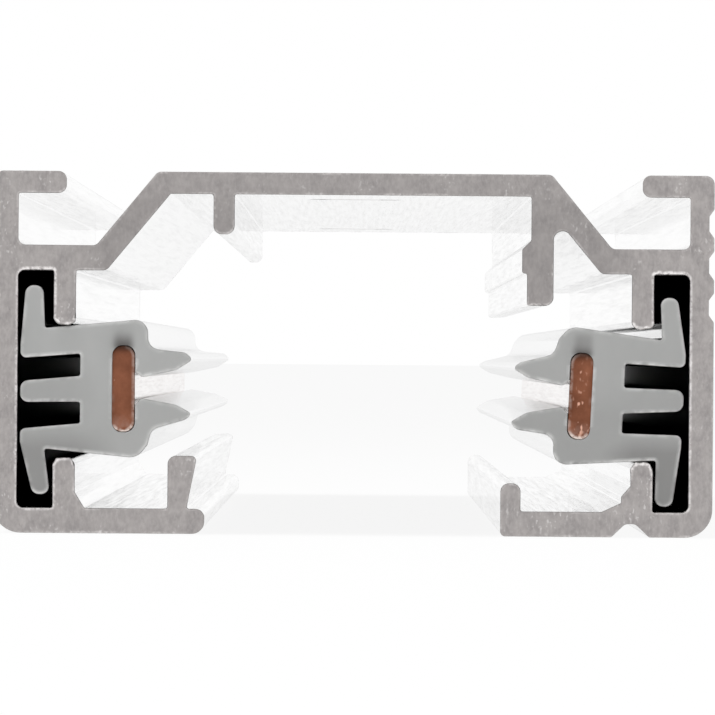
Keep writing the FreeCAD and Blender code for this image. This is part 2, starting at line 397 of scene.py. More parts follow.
def net(ring, gap):
    """Triangles between a ring and a grid inside it: all the points, and triangles of their numbers."""
    low = Vector((min(p.x for p in ring), min(p.y for p in ring)))
    high = Vector((max(p.x for p in ring), max(p.y for p in ring)))
    near = {}
    for p in ring:
        near.setdefault((int(p.x // gap), int(p.y // gap)), []).append(p)

    def clear(p):
        cell = (int(p.x // gap), int(p.y // gap))
        for i in (-1, 0, 1):
            for j in (-1, 0, 1):
                for q in near.get((cell[0] + i, cell[1] + j), ()):
                    if (p - q).length < CLEAR_SHARE * gap:
                        return False
        return True

    grid = []
    z, row = low.y + gap / 2, 0
    while z < high.y:
        cross = []
        for a, b in zip(ring, ring[1:] + ring[:1]):
            if (a.y > z) != (b.y > z):
                cross.append(a.x + (z - a.y) / (b.y - a.y) * (b.x - a.x))
        cross.sort()
        for start, end in zip(cross[::2], cross[1::2]):
            first = math.ceil((start - low.x) / gap - 0.5 * (row % 2))
            x = low.x + (first + 0.5 * (row % 2)) * gap
            while x < end:
                p = Vector((x, z))
                if clear(p):
                    grid.append(p)
                x += gap
        z, row = z + gap * ROW_SHARE, row + 1
    count = len(ring)
    edges = [(i, (i + 1) % count) for i in range(count)]
    _, _, tris, origin, _, _ = geometry.delaunay_2d_cdt(ring + grid, edges, [], INSIDE_ONLY, SAME_POINT)
    number = [o[0] for o in origin]
    return ring + grid, [tuple(number[i] for i in t) for t in tris]


_, tris = net(outlines["conductor_left"], 0.15 * MM)
print("conductor net at 0.15 mm:", len(tris), "triangles")

# %% [markdown]
# While a piece is being made it is only lists: points with their two numbers, and faces
# that know whether they belong to a cut. A mesh could be grown point by point instead,
# but lists are quicker, and Blender turns them into a mesh in one step.

# %% Shell of points and faces
class Shell:
    """Points and faces of a piece while it is being made."""

    def __init__(self):
        self.points, self.torn, self.deep = [], [], []
        self.faces, self.cut = [], []

    def point(self, x, y, z, torn=0.0, deep=0.0):
        self.points.append((x, y, z))
        self.torn.append(torn)
        self.deep.append(deep)
        return len(self.points) - 1

    def face(self, corners, cut):
        self.faces.append(tuple(corners))
        self.cut.append(1 if cut else 0)

    def band(self, near, far, cut):
        """Faces between two closed rings; near lies towards the front."""
        for i in range(len(near)):
            j = (i + 1) % len(near)
            self.face((near[j], near[i], far[i], far[j]), cut)


print("shell helper ready")

# %% [markdown]
# The rings and nets come together here. The rim function says, for a point of the
# outline, how the edge steps from the wall to the face: how far in from the outline,
# how deep from the cut, and how torn, which also sets how much painted highlight the
# edge gets. Depth is counted from the cut into the piece, so the same code makes the
# front and the back end.

# %% Sawn length of a section
WALL_RINGS = 2


def sawn_length(outline, ends, step, gap, rim, dish, on_wall, on_face):
    """A shell of the outline between two cuts; gives the shell, the closer outline and the wall rings.

    The first two rings of a rim belong to the wall and get the number on_wall, the others on_face.
    """
    shell = Shell()
    closer = spaced(outline, step)
    out, room = outward(closer), corner_room(closer)
    walls = []
    for cut_y, inward in ((ends[0], 1), (ends[1], -1)):
        rings, flat = [], []
        for p, n, most in zip(closer, out, room):
            steps = rim(p, n, inward)
            if not rings:
                rings = [[] for _ in steps]
            tight = min(1.0, most / steps[-1][0])
            for k, (inset, depth, torn) in enumerate(steps):
                q = p - n * inset * tight
                y = cut_y + inward * (depth + dish(q, inward))
                deep = on_wall(p) if k < WALL_RINGS else on_face(q)
                rings[k].append(shell.point(q.x, y, q.y, torn, deep))
            flat.append(p - n * steps[-1][0] * tight)
        for k, (wall_side, face_side) in enumerate(zip(rings, rings[1:])):
            near, far = (face_side, wall_side) if inward > 0 else (wall_side, face_side)
            shell.band(near, far, k + 1 >= WALL_RINGS)
        points, tris = net(flat, gap)
        number = list(rings[-1])
        for p in points[len(flat):]:
            number.append(shell.point(p.x, cut_y + inward * dish(p, inward), p.y, deep=on_face(p)))
        for t in tris:
            corners = [number[i] for i in t]
            shell.face(corners if inward > 0 else corners[::-1], True)
        walls.append(rings[0])
    return shell, closer, walls


print("sawn length builder ready")

# %% [markdown]
# A finished shell becomes a Blender object. It gets one material for its walls and one for
# its cuts, and its two numbers become attributes of the mesh, which shader nodes can read.
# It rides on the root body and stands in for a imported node.

# %% Piece from a shell
SHARP_FROM = math.radians(32)


def piece_from(shell, name, node, skin, cut):
    """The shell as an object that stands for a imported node."""
    mesh = bpy.data.meshes.new(name)
    mesh.from_pydata(shell.points, [], shell.faces)
    mesh.materials.append(skin)
    mesh.materials.append(cut)
    mesh.polygons.foreach_set("material_index", shell.cut)
    for label, values in (("torn", shell.torn), ("deep", shell.deep)):
        mesh.attributes.new(label, "FLOAT", "POINT").data.foreach_set("value", values)
    mesh.shade_smooth()
    mesh.set_sharp_from_angle(angle=SHARP_FROM)
    mesh.validate()
    made = bpy.data.objects.new(name, mesh)
    scene.collection.objects.link(made)
    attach(made, "root")
    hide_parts(node)
    tris = sum(len(f) - 2 for f in shell.faces)
    print(name, len(shell.points), "points,", tris, "triangles")
    return made


print("edges sharper than", round(math.degrees(SHARP_FROM)), "degrees stay sharp")

# %% [markdown]
# ## Effects that several finishes share
#
# Drawing lines run along every wall, because all three materials are pulled through a
# die or rolled. They come from noise that is stretched a few hundred times along the
# length. Saw marks run up and down every cut face, from noise stretched the other
# way. Both are node groups, so each finish gives them its own spacing.

# %% Drawing lines and saw marks
MM_PER_METRE = 1000
BROAD_LINES = 0.20
BROAD_MARKS = 0.22


def stretched_noise(group, scale, spacing, detail):
    """Noise in millimetres of the object, stretched by scale."""
    where = add(group, "ShaderNodeTexCoord")
    squeezed = add(group, "ShaderNodeMapping", links={"Vector": where.outputs["Object"]},
                   values={"Scale": [MM_PER_METRE * s for s in scale]})
    return add(group, "ShaderNodeTexNoise",
               links={"Vector": squeezed.outputs[0], "Scale": spacing},
               values={"Detail": detail, "Roughness": 0.62})


drawing_lines, inp, out = effect("drawing_lines", {"Lines per mm": 6.0}, ["Height", "Shade"])
fine = stretched_noise(drawing_lines, (1, 0.003, 1), inp.outputs["Lines per mm"], 3.0)
drawing_lines.links.new(fine.outputs["Fac"], out.inputs["Height"])
fewer = add(drawing_lines, "ShaderNodeMath", operation="MULTIPLY",
            links={0: inp.outputs["Lines per mm"]}, values={1: BROAD_LINES})
broad = stretched_noise(drawing_lines, (1, 0.002, 1), fewer.outputs[0], 2.0)
drawing_lines.links.new(broad.outputs["Fac"], out.inputs["Shade"])

saw_marks, inp, out = effect("saw_marks", {"Marks per mm": 7.0}, ["Height", "Shade"])
fine = stretched_noise(saw_marks, (1, 1, 0.50), inp.outputs["Marks per mm"], 4.0)
saw_marks.links.new(fine.outputs["Fac"], out.inputs["Height"])
fewer = add(saw_marks, "ShaderNodeMath", operation="MULTIPLY",
            links={0: inp.outputs["Marks per mm"]}, values={1: BROAD_MARKS})
broad = stretched_noise(saw_marks, (1, 1, 0.8), fewer.outputs[0], 4.0)
saw_marks.links.new(broad.outputs["Fac"], out.inputs["Shade"])
print("effects", [g.name for g in bpy.data.node_groups])

# %% [markdown]
# Bright specks are chips and grains that catch the light on a cut face. The tops of a
# fine noise are small irregular grains, and a second, broader noise lets them show
# only in patches. Torn edges are painted bright, a painted highlight over the torn lip,
# from the number that the mesh keeps for each point, broken up by a little noise so
# that no edge is an even line.

# %% Specks and torn edges
SPECK_CONTRAST = 10.0
PATCH_FROM, PATCH_FULL = 0.52, 0.66
BREAK_FROM, BREAK_FULL = 0.32, 0.58

specks, inp, out = effect("specks", {"Specks per mm": 9.0, "From": 0.62, "Patches per mm": 1.0},
                          ["Mask"])
grains = stretched_noise(specks, (1, 1, 0.6), inp.outputs["Specks per mm"], 1.0)
bright = add(specks, "ShaderNodeMath", operation="SUBTRACT",
             links={0: grains.outputs["Fac"], 1: inp.outputs["From"]})
sharp = add(specks, "ShaderNodeMath", operation="MULTIPLY", use_clamp=True,
            links={0: bright.outputs[0]}, values={1: SPECK_CONTRAST})
patches = stretched_noise(specks, (1, 1, 1), inp.outputs["Patches per mm"], 2.0)
where = add(specks, "ShaderNodeMapRange", links={"Value": patches.outputs["Fac"]},
            values={"From Min": PATCH_FROM, "From Max": PATCH_FULL})
mask = add(specks, "ShaderNodeMath", operation="MULTIPLY",
           links={0: sharp.outputs[0], 1: where.outputs[0]})
specks.links.new(mask.outputs[0], out.inputs["Mask"])

torn_edge, inp, out = effect("torn_edge", {"Breaks per mm": 5.0, "Strength": 1.0}, ["Mask"])
kept = add(torn_edge, "ShaderNodeAttribute", attribute_name="torn")
broken = stretched_noise(torn_edge, (1, 1, 1), inp.outputs["Breaks per mm"], 2.0)
gate = add(torn_edge, "ShaderNodeMapRange", links={"Value": broken.outputs["Fac"]},
           values={"From Min": BREAK_FROM, "From Max": BREAK_FULL})
both = add(torn_edge, "ShaderNodeMath", operation="MULTIPLY",
           links={0: kept.outputs["Fac"], 1: gate.outputs[0]})
scaled = add(torn_edge, "ShaderNodeMath", operation="MULTIPLY", use_clamp=True,
             links={0: both.outputs[0], 1: inp.outputs["Strength"]})
torn_edge.links.new(scaled.outputs[0], out.inputs["Mask"])
print("effects", [g.name for g in bpy.data.node_groups])

# %% [markdown]
# ## The finishes
#
# Aluminium has two looks. Where the saw went it is a dull, faintly warm grey with
# streaks and bright specks. Its torn edges are painted near white, a painted highlight on
# the real burr, and the upper middle is painted a shade darker, as painted shade. Along the
# walls it has drawing lines. The outside is brushed to a satin, the channel is as bright as
# the die leaves it, and the closed pockets are painted dull and dark: painted shade where no
# light gets in. One number of the mesh says where a point lies: on a wall -1 is outside, 0 in
# the channel and 1 in a pocket, and on the cut face it says how much painted shade there is.

# %% Aluminium
sawn_aluminium, tree, shader = finish("sawn_aluminium")
marks = place(tree, saw_marks, Marks_per_mm=6.0)
patch = blended(tree, between(tree, marks.outputs["Shade"], 0, 1, 0.34, 0.68),
                (0.350, 0.328, 0.325), (0.478, 0.450, 0.440))
grey = blended(tree, between(tree, marks.outputs["Height"], 0.0, 0.55, 0.42, 0.72),
               patch, (0.525, 0.498, 0.488))
pits = place(tree, specks, Specks_per_mm=7.0, From=0.60, Patches_per_mm=1.3)
pitted = blended(tree, between(tree, pits.outputs["Mask"], 0, 0.4), grey, (0.285, 0.258, 0.252))
chips = place(tree, specks, Specks_per_mm=6.0, From=0.585, Patches_per_mm=0.5)
chipped = blended(tree, between(tree, chips.outputs["Mask"], 0, 0.9), pitted, (0.70, 0.68, 0.67))
# Painted shade: the upper middle of the cut is painted darker by the number deep.
upper_shade_mask = add(tree, "ShaderNodeAttribute", attribute_name="deep").outputs["Fac"]
upper_shaded = blended(tree, upper_shade_mask, chipped, (0.25, 0.235, 0.232))
# Painted highlight: torn edges are painted near white over the real burr.
edge = place(tree, torn_edge, Breaks_per_mm=4.0, Strength=1.6)
colour = blended(tree, edge.outputs["Mask"], upper_shaded, (0.93, 0.90, 0.89))
tree.links.new(colour, shader.inputs["Base Color"])
tree.links.new(between(tree, marks.outputs["Height"], 0.62, 0.42), shader.inputs["Roughness"])
shader.inputs["Metallic"].default_value = 1.0
bumped(tree, marks.outputs["Height"], 0.012 * MM, shader)

drawn_aluminium, tree, shader = finish("drawn_aluminium")
lines = place(tree, drawing_lines, Lines_per_mm=5.0)
silver = blended(tree, lines.outputs["Shade"], (0.60, 0.59, 0.58), (0.70, 0.69, 0.68))
pocket = add(tree, "ShaderNodeAttribute", attribute_name="deep").outputs["Fac"]
satin = between(tree, pocket, 1.0, 0.0, -1.0, 0.0)
skin = blended(tree, satin, silver, (0.47, 0.465, 0.46))
# Painted shade: the pocket walls are painted dark, where no light gets in.
tree.links.new(blended(tree, pocket, skin, (0.27, 0.275, 0.28)), shader.inputs["Base Color"])
bright = between(tree, lines.outputs["Height"], 0.02, 0.05, 0.3, 0.7)
brushed = add(tree, "ShaderNodeMath", operation="MAXIMUM",
              links={0: bright, 1: between(tree, satin, 0.0, 0.34)})
rough = add(tree, "ShaderNodeMath", operation="MAXIMUM",
            links={0: brushed.outputs[0], 1: between(tree, pocket, 0.0, 0.28)})
tree.links.new(rough.outputs[0], shader.inputs["Roughness"])
shader.inputs["Metallic"].default_value = 1.0
bumped(tree, lines.outputs["Height"], 0.002 * MM, shader)
print("aluminium finishes made")

# %% [markdown]
# The strips are rigid grey plastic. Its cut face is smooth, a little paler at the rim where
# the saw has stressed it and palest on edges that face down, a painted highlight. Above the
# conductor it is painted dark as painted shade, and its lower parts are painted darker.

# %% Grey plastic
cut_plastic, tree, shader = finish("cut_plastic")
marks = place(tree, saw_marks, Marks_per_mm=2.5)
grey = blended(tree, marks.outputs["Shade"], (0.368, 0.372, 0.366), (0.428, 0.430, 0.424))
# Painted shade over the crown, and darkening of the lower parts, from the number deep.
shade_and_darkening = add(tree, "ShaderNodeAttribute", attribute_name="deep").outputs["Fac"]
shaded_and_darkened = blended(tree, shade_and_darkening, grey, (0.045, 0.036, 0.034))
# Painted highlight: the rim is painted pale, most on edges that face down.
edge = place(tree, torn_edge, Breaks_per_mm=1.5, Strength=1.0)
colour = blended(tree, edge.outputs["Mask"], shaded_and_darkened, (0.74, 0.74, 0.73))
tree.links.new(colour, shader.inputs["Base Color"])
tree.links.new(between(tree, marks.outputs["Height"], 0.48, 0.60), shader.inputs["Roughness"])
bumped(tree, marks.outputs["Height"], 0.004 * MM, shader)

strip_plastic, tree, shader = finish("strip_plastic")
lines = place(tree, drawing_lines, Lines_per_mm=2.5)
grey = blended(tree, lines.outputs["Shade"], (0.39, 0.39, 0.385), (0.44, 0.44, 0.435))
pocket = add(tree, "ShaderNodeAttribute", attribute_name="deep").outputs["Fac"]
# Painted shade: the walls are painted dark where no light gets in.
tree.links.new(blended(tree, pocket, grey, (0.14, 0.145, 0.15)), shader.inputs["Base Color"])
tree.links.new(between(tree, pocket, 0.035, 0.40), shader.inputs["Roughness"])
bumped(tree, lines.outputs["Height"], 0.003 * MM, shader)
print("plastic finishes made")

# %% [markdown]
# Copper is dull brown on its sawn end, with pink flecks where the blade dragged over
# it, and bright on its rolled faces. The sawn end is painted dark at its upper end, as
# painted shade, and bright along its lower lip, as a painted highlight. The two ends differ
# only in how many flecks they have, so one function makes both.

# %% Copper
def sawn_copper(name, fleck_from):
    made, tree, shader = finish(name)
    marks = place(tree, saw_marks, Marks_per_mm=3.0)
    brown = blended(tree, between(tree, marks.outputs["Shade"], 0, 1, 0.3, 0.7),
                    (0.172, 0.064, 0.036), (0.330, 0.130, 0.074))
    flecks = place(tree, specks, Specks_per_mm=4.0, From=fleck_from, Patches_per_mm=0.9)
    flecked = blended(tree, flecks.outputs["Mask"], brown, (0.80, 0.46, 0.34))
    # Painted shade: the upper end is painted dark under the strip's dish.
    shade_and_darkening = add(tree, "ShaderNodeAttribute", attribute_name="deep").outputs["Fac"]
    shaded_and_darkened = blended(tree, shade_and_darkening, flecked, (0.050, 0.026, 0.020))
    # Painted highlight: the lower lip and the foot are painted bright.
    edge = place(tree, torn_edge, Breaks_per_mm=3.0, Strength=1.2)
    colour = blended(tree, edge.outputs["Mask"], shaded_and_darkened, (0.93, 0.82, 0.76))
    tree.links.new(colour, shader.inputs["Base Color"])
    tree.links.new(between(tree, marks.outputs["Height"], 0.40, 0.60), shader.inputs["Roughness"])
    shader.inputs["Metallic"].default_value = 1.0
    bumped(tree, marks.outputs["Height"], 0.010 * MM, shader)
    return made


rolled_copper, tree, shader = finish("rolled_copper")
lines = place(tree, drawing_lines, Lines_per_mm=8.0)
tree.links.new(blended(tree, lines.outputs["Shade"], (0.66, 0.30, 0.19), (0.78, 0.40, 0.27)),
               shader.inputs["Base Color"])
tree.links.new(between(tree, lines.outputs["Height"], 0.02, 0.06, 0.3, 0.7), shader.inputs["Roughness"])
shader.inputs["Metallic"].default_value = 1.0
bumped(tree, lines.outputs["Height"], 0.001 * MM, shader)
print("copper finishes made")

# %% [markdown]
# ## The aluminium profile
#
# What a point of the profile looks like depends on where in the section it lies: on the
# outside, in the channel, in one of the closed pockets that hold the strips, or on the
# tips of the webs beside a pocket's window. The two sides are not mirror images, but
# these places are near enough alike to share their limits. The limits fade over a short
# distance, so that no finish ends in a hard line.

# %% Places in the section
POCKET_FROM, POCKET_TO = 14.6 * MM, 17.2 * MM
POCKET_LOW, POCKET_HIGH = 1.0 * MM, 13.4 * MM
WINDOW_LOW, WINDOW_HIGH = 3.75 * MM, 10.4 * MM
WEB_FROM, WEB_TO = 13.7 * MM, 15.2 * MM
TIP_FULL, TIP_NONE = 0.3 * MM, 0.7 * MM
LIT_TIP, LIT_TO = 0.35 * MM, 15.8 * MM
FADE, MOUTH_FADE = 0.20 * MM, 0.25 * MM
SKIN = 0.1 * MM


def ramp(value, start, stop):
    """From 0 at start to 1 at stop. Start may be the larger of the two."""
    return min(1.0, max(0.0, (value - start) / (stop - start)))


def plateau(value, low, high, rise, fall):
    """1 between low and high, with a slope inside each of them, and 0 beyond."""
    return ramp(value, low, low + rise) * ramp(value, high, high - fall)


def in_pocket(p):
    """1 on the walls of a strip's pocket, 0 elsewhere.

    Light gets in under the right web, over the strip that has sunk there.
    """
    if WINDOW_LOW < p.y < WINDOW_HIGH + LIT_TIP and POCKET_FROM < p.x < LIT_TO:
        return 0.0
    across = plateau(abs(p.x), POCKET_FROM, POCKET_TO, MOUTH_FADE, FADE)
    return across * plateau(p.y, POCKET_LOW, POCKET_HIGH, FADE, FADE)


def web_tip(p):
    """1 at the tips of the webs, above and below the window that the strip passes through."""
    beyond = max(WINDOW_LOW - p.y, p.y - WINDOW_HIGH)
    return plateau(abs(p.x), WEB_FROM, WEB_TO, FADE, FADE) * ramp(beyond, TIP_NONE, TIP_FULL)


def kind_of_wall(p):
    """-1 on the brushed outside: top, sides and the soles of the lips. 1 in a pocket, 0 elsewhere."""
    if p.y < SKIN or p.y > cad_high.z - SKIN or abs(p.x) > cad_high.x - SKIN:
        return -1.0
    return in_pocket(p)


kinds = [kind_of_wall(p) for p in outlines["track_profile"]]
print("outline points outside", kinds.count(-1.0), "and in a pocket", kinds.count(1.0))

# %% [markdown]
# The saw leaves a torn lip along some edges: a thin burr that stands out of the cut by
# a few hundredths of a millimetre. It is heaviest round the two pockets and on edges
# that face down, where the blade came out. The lip is real geometry, made from the rim
# rings, and its size wanders with noise. The same number paints the lip near white in
# the cut finish: a painted highlight where the burr catches the light.

# %% Torn rim of the profile
WALL_RING = 1.5 * MM
END_APART = 7.3
TEAR_ANYWHERE, TEAR_POCKET, TEAR_TIP, TEAR_DOWN = 0.04, 0.55, 0.50, 0.08
LIP_FOOT, LIP_NECK = 0.20 * MM, 0.05 * MM
LIP_OUT, LIP_PROUD, LIP_TOP = 0.025 * MM, 0.040 * MM, 0.020 * MM
LIP_WIDTH, LIP_WIDER = 0.05 * MM, 0.11 * MM
FACE_FROM = 0.06 * MM
CRUMB = 0.08 * MM
UNEVEN = 0.012 * MM


def wander(p, per_mm, end, seed):
    """Noise from -1 to 1 along an edge, not the same at the two ends."""
    return noise.noise(Vector((p.x * per_mm / MM, p.y * per_mm / MM, seed + END_APART * end)))


def profile_rim(p, n, end):
    facing_down = max(0.0, -n.y)
    tip, pocket = web_tip(p), in_pocket(p)
    heavy = (TEAR_ANYWHERE + TEAR_POCKET * pocket * (0.7 + 0.5 * facing_down)
             + TEAR_TIP * tip * (1 - 0.5 * pocket) + TEAR_DOWN * facing_down)
    slow, quick = wander(p, 0.9, end, 3.1), wander(p, 5.0, end, 11.7)
    torn = min(1.0, max(0.0, heavy + 0.30 * slow + (0.22 + 0.2 * tip) * quick))
    crumb = CRUMB * tip * wander(p, 3.7, end, 21.3)
    width = LIP_WIDTH + LIP_WIDER * torn
    return [
        (0.0, WALL_RING, 0.0),
        (0.0, LIP_FOOT, 0.0),
        (crumb - LIP_OUT * torn, LIP_NECK, torn),
        (crumb + LIP_TOP, -LIP_PROUD * torn, torn),
        (crumb + LIP_TOP + 0.6 * width, 0.0, 0.8 * torn),
        (FACE_FROM + width, 0.0, 0.0),
    ]


def profile_dish(p, end):
    """The cut is flat to a few hundredths of a millimetre."""
    return UNEVEN * (1 + wander(p, 0.5, end, 5.5))


tears = [profile_rim(p, Vector((0, -1)), 1)[3][2] for p in outlines["track_profile"]]
print("tear from", round(min(tears), 2), "to", round(max(tears), 2))

# %% [markdown]
# The cut face is painted darker in the upper middle of the section, as painted shade:
# the slopes and ribs there are darker, and the top plate over them a little. This goes
# into the number that the cut face keeps.

# %% Painted shade on the cut
UPPER_SHADE = 0.36
SHADE_NONE_HEIGHT, SHADE_FULL_HEIGHT = 10.5 * MM, 12.5 * MM
SHADE_NONE_SIDE, SHADE_FULL_SIDE = 14.5 * MM, 12.5 * MM
PLATE_FROM, PLATE_FULL = 16.7 * MM, 17.2 * MM
PLATE_SPARED = 0.55


def painted_upper_shade(p):
    """Most on the slopes and ribs of the upper middle, less on the top plate, none at the sides."""
    high = ramp(p.y, SHADE_NONE_HEIGHT, SHADE_FULL_HEIGHT)
    middle = ramp(abs(p.x), SHADE_NONE_SIDE, SHADE_FULL_SIDE)
    return UPPER_SHADE * high * middle * (1 - PLATE_SPARED * ramp(p.y, PLATE_FROM, PLATE_FULL))


print("most rubbed", max(painted_upper_shade(p) for p in outlines["track_profile"]))

# %% [markdown]
# The top plate has two fixing holes. They could be cut with a Boolean, but that slices
# through all the long faces of the plate. Instead the two flat faces of the plate get a
# row of points on each side of a hole. Between those rows the face is a net of triangles
# with a round gap, and elsewhere it stays as plain long faces. The net keeps clear of the
# plate's rounded edges, whose slanted shading it would spread over the flat.

# %% Flat faces with round gaps
PROFILE_STEP = 0.12 * MM
PROFILE_NET = 0.20 * MM
HOLE_SIDES = 56
BROKEN_EDGE = 0.15 * MM
HOLE_FLAT = 0.15 * MM
PATCH_HALF = 6.0 * MM
LEVEL = 0.001 * MM

screws = next(m for m in frame["record"]["mounts"] if m["name"] == "ceiling_screws")
hole_radius = screws["dims"]["hole_r_mm"] * MM
rim_radius = hole_radius + BROKEN_EDGE
gap_radius = rim_radius + HOLE_FLAT
gap_inside = gap_radius * math.cos(math.pi / HOLE_SIDES)
hole_places = [s * screws["dims"]["spacing_y_mm"] * MM / 2 for s in (-1, 1)]
outline = outlines["track_profile"]
ends = [c.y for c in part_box("track_profile")]
shell, closer, walls = sawn_length(outline, ends, PROFILE_STEP, PROFILE_NET,
                                   profile_rim, profile_dish, kind_of_wall, painted_upper_shade)


def run_through_middle(height):
    """Numbers of the closer points on the flat run at a height that crosses x = 0."""
    level = [i for i, p in enumerate(closer) if abs(p.y - height) < LEVEL]
    run = [min(level, key=lambda i: abs(closer[i].x))]
    while (run[-1] + 1) % len(closer) in level:
        run.append((run[-1] + 1) % len(closer))
    while (run[0] - 1) % len(closer) in level:
        run.insert(0, (run[0] - 1) % len(closer))
    return run


def circle(radius, y, z):
    kind = kind_of_wall(Vector((0, z)))
    return [shell.point(radius * math.cos(a), y + radius * math.sin(a), z, deep=kind)
            for a in (2 * math.pi * i / HOLE_SIDES for i in range(HOLE_SIDES))]


def loop(first, count):
    return [(first + i, first + (i + 1) % count) for i in range(count)]


def holed_flat(run, height, up):
    """The flat face over a run of the outline, with a round gap for each hole: rows and gaps."""
    def row(y):
        return [shell.point(closer[i].x, y, height, deep=kind_of_wall(closer[i])) for i in run]

    rows, gaps = [[walls[0][i] for i in run]], []
    for y in hole_places:
        near, far = row(y - PATCH_HALF), row(y + PATCH_HALF)
        gap = circle(gap_radius, y, height)
        number = near + far[::-1] + gap
        edges = loop(0, 2 * len(run)) + loop(2 * len(run), HOLE_SIDES)
        flat = [Vector(shell.points[i][:2]) for i in number]
        _, _, tris, origin, _, _ = geometry.delaunay_2d_cdt(flat, edges, [], INSIDE_ONLY, SAME_POINT)
        for t in tris:
            numbers = [origin[i][0] for i in t]
            middle = sum((flat[i] for i in numbers), Vector((0, 0))) / 3
            if (middle - Vector((0, y))).length > gap_inside:
                corners = [number[i] for i in numbers]
                shell.face(corners if up else corners[::-1], False)
        rows += [near, far]
        gaps.append(gap)
    rows.append([walls[1][i] for i in run])
    for near, far in zip(rows[::2], rows[1::2]):
        for i in range(len(run) - 1):
            shell.face((near[i + 1], near[i], far[i], far[i + 1]), False)
    return rows, gaps


print("holes", round(2 * hole_radius / MM, 2), "mm across, at", [round(y / MM) for y in hole_places])

# %% [markdown]
# The long faces of the other walls follow. Those beside the two flats take in the ends of
# the flats' rows, so that every edge still has just two faces. Rings then join the gaps of
# the two flats: an edge broken by the drill, the bore, and the other edge.

# %% Profile with its fixing holes
EDGE_POINTS = 3
NEAR_MIDDLE = 0.3 * MM
PLATE_LEAST = 0.5 * MM

top = max(p.y for p in closer)
under = max(p.y for p in closer if abs(p.x) < NEAR_MIDDLE and p.y < top - PLATE_LEAST)
top_run = run_through_middle(top)[EDGE_POINTS:-EDGE_POINTS]
under_run = run_through_middle(under)[EDGE_POINTS:-EDGE_POINTS]
upper_rows, upper_gaps = holed_flat(top_run, top, True)
lower_rows, lower_gaps = holed_flat(under_run, under, False)
left_out = {(r[i], r[i + 1]) for r in (top_run, under_run) for i in range(len(r) - 1)}
stops = {}
for run, rows in ((top_run, upper_rows), (under_run, lower_rows)):
    stops[run[0]] = [row[0] for row in rows[1:-1]]
    stops[run[-1]] = [row[-1] for row in rows[1:-1]]
for i in range(len(closer)):
    j = (i + 1) % len(closer)
    if (i, j) not in left_out:
        shell.face((walls[0][j], walls[0][i], *stops.get(i, ()),
                    walls[1][i], walls[1][j], *reversed(stops.get(j, ()))), False)
for y, upper, lower in zip(hole_places, upper_gaps, lower_gaps):
    rings = [upper, circle(rim_radius, y, top), circle(hole_radius, y, top - BROKEN_EDGE),
             circle(hole_radius, y, under + BROKEN_EDGE), circle(rim_radius, y, under), lower]
    for above, below in zip(rings, rings[1:]):
        for i in range(HOLE_SIDES):
            j = (i + 1) % HOLE_SIDES
            shell.face((above[i], above[j], below[j], below[i]), False)
profile = piece_from(shell, "dressed_profile", "track_profile",
                     drawn_aluminium, sawn_aluminium)

# %% [markdown]
# ## The plastic strips
#
# Much of a strip's look comes from the conductor in it. The blade pulled at the copper, so
# the plastic is dished over the conductor's upper end, its crown, and painted dark there as
# painted shade. The right conductor leans a little, so places are counted along the lean,
# from the crown.

# %% Seats of the conductors
SEAT_NEAR = 0.12 * MM


class Seat:
    """Where a conductor sits in its strip."""

    def __init__(self, side):
        self.copper = outlines["conductor_" + side]
        flanks = zip(self.copper, self.copper[1:] + self.copper[:1])
        start, stop = max(flanks, key=lambda flank: (flank[1] - flank[0]).length)
        lean = (stop - start).normalized()
        self.lean = lean if lean.y > 0 else -lean
        self.middle = sum(self.copper, Vector((0, 0))) / len(self.copper)
        self.crown = self.middle + self.lean * max(self.along(p) for p in self.copper)

    def along(self, p):
        """How far up the lean a point is from the conductor's middle."""
        return (p - self.middle).dot(self.lean)

    def from_crown(self, p):
        """How far a point is above and beside the crown."""
        off = p - self.crown
        return off.dot(self.lean), off.dot(Vector((self.lean.y, -self.lean.x)))

    def near(self, p):
        return min((p - q).length for q in self.copper) < SEAT_NEAR


seats = {side: Seat(side) for side in ("left", "right")}
for side, seat in seats.items():
    tilt = math.degrees(math.atan2(seat.lean.x, seat.lean.y))
    print(side, "conductor leans", round(tilt, 1), "degrees")

# %% [markdown]
# The plastic gives a little under the saw, so the rim of its cut face is rounded. It is
# painted paler at the rim, where the saw has stressed it, and palest along edges that face
# down: a painted highlight there. At the conductor's seat the rim is tighter and not pale.
# The dish over the crown is in the net of triangles.

# %% Rim and dish of a strip
PALE, PALE_BELOW = 0.42, 0.45
RIM_SIZE, SEAT_RIM_SIZE = 1.0 * MM, 0.35 * MM
DISH_DEPTH, DISH_MIDDLE = 0.26 * MM, 0.05 * MM
DISH_UP, DISH_BESIDE = 0.75 * MM, 0.65 * MM
STRIP_UNEVEN = 0.006 * MM


# Painted highlight: the pale number is highest on edges that face down.
def strip_rim(seat, p, n, end):
    pale = PALE + PALE_BELOW * max(0.0, -n.y)
    pale = min(1.0, max(0.0, pale * (1 + 0.6 * wander(p, 0.8, end, 8.8))))
    size = RIM_SIZE
    if seat.near(p):
        pale, size = 0.0, SEAT_RIM_SIZE
    return [
        (0.0, WALL_RING, 0.0),
        (0.0, 0.10 * size, 0.0),
        (0.012 * size, 0.04 * size, pale),
        (0.050 * size, 0.008 * size, pale),
        (0.12 * size, 0.0, 0.45 * pale),
        (0.22 * size, 0.0, 0.0),
    ]


def strip_dish(seat, p, end):
    up, beside = seat.from_crown(p)
    hollow = math.exp(-((up - DISH_MIDDLE) / DISH_UP) ** 2 - (beside / DISH_BESIDE) ** 2)
    return DISH_DEPTH * hollow + STRIP_UNEVEN * (1 + wander(p, 0.4, end, 2.2))


for side, seat in seats.items():
    print(side, "dish", round(strip_dish(seat, seat.crown, 1) / MM, 2), "mm deep at the crown")

